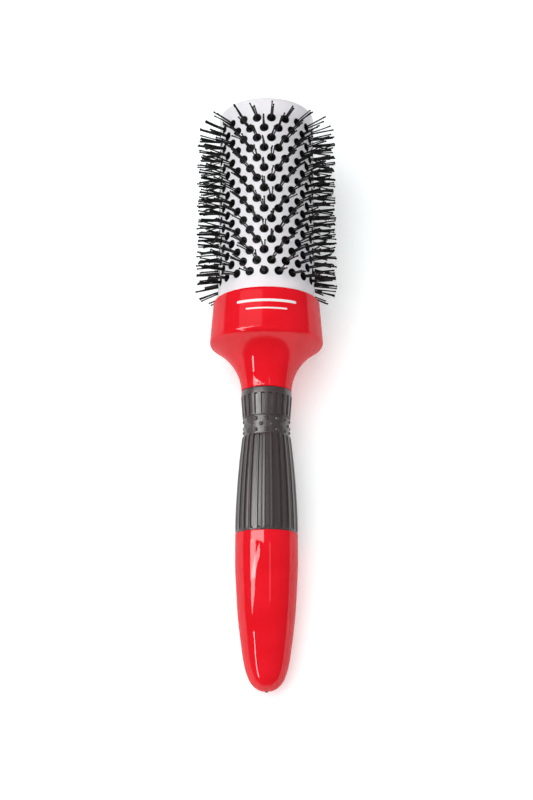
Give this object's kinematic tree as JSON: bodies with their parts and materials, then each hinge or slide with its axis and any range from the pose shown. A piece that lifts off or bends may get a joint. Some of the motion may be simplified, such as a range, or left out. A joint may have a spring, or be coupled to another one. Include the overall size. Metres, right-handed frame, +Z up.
{
  "type": "round barrel brush",
  "caption": "Round hairbrush with a perforated coated barrel, ball-tipped bristles, a flared collar, a ribbed rubber grip and a tail that hides a sliding pick.",
  "frame": {"origin": "on the brush axis, halfway along the brush, which is the centre of its bounding box", "axes": "+Y along the brush axis from the butt of the handle towards the barrel end, +Z up with the brush held level; the brush is round about Y"},
  "size_m": [0.0624, 0.2588, 0.0624],
  "materials": {
    "barrel_coating": "satin white ceramic coat on aluminium",
    "cap_plastic": "white moulded plastic",
    "bristle_nylon": "black nylon with ball tips",
    "core_plastic": "black moulded nylon",
    "red_plastic": "high-gloss red with a fine pearl",
    "grip_rubber": "satin dark grey soft-touch rubber",
    "ring_rubber": "black rubber ring",
    "screw_steel": "zinc-plated steel",
    "pick_steel": "dark-coated polished steel"
  },
  "bodies": {
    "brush": {"barrel_tube": "barrel_coating", "barrel_end_cap": "cap_plastic", "core_end_plate": "core_plastic", "tie_washer": "screw_steel", "tie_screw": "screw_steel", "bristle_core": "core_plastic", "handle_collar": "red_plastic", "handle_spine": "core_plastic", "grip_sleeve": "grip_rubber", "handle_tail": "red_plastic", "tail_plug": "core_plastic", "pick_guide": "core_plastic", "bristle_strip_01": "bristle_nylon", "bristle_strip_02": "bristle_nylon", "bristle_strip_03": "bristle_nylon", "bristle_strip_04": "bristle_nylon", "bristle_strip_05": "bristle_nylon", "bristle_strip_06": "bristle_nylon", "bristle_strip_07": "bristle_nylon", "bristle_strip_08": "bristle_nylon", "bristle_strip_09": "bristle_nylon", "bristle_strip_10": "bristle_nylon", "bristle_strip_11": "bristle_nylon", "bristle_strip_12": "bristle_nylon", "bristle_strip_13": "bristle_nylon", "bristle_strip_14": "bristle_nylon", "bristle_strip_15": "bristle_nylon", "bristle_strip_16": "bristle_nylon", "bristle_strip_17": "bristle_nylon", "bristle_strip_18": "bristle_nylon", "bristle_strip_19": "bristle_nylon", "bristle_strip_20": "bristle_nylon", "bristle_strip_21": "bristle_nylon"},
    "pick": {"sectioning_pick": "pick_steel", "pick_slider": "core_plastic", "pick_o_ring": "ring_rubber"}
  },
  "joints": [
    {"name": "pick_slide", "type": "slide", "parent": "brush", "child": "pick", "axis": [0, -1, 0], "range_m": [0, 0.038]}
  ]
}
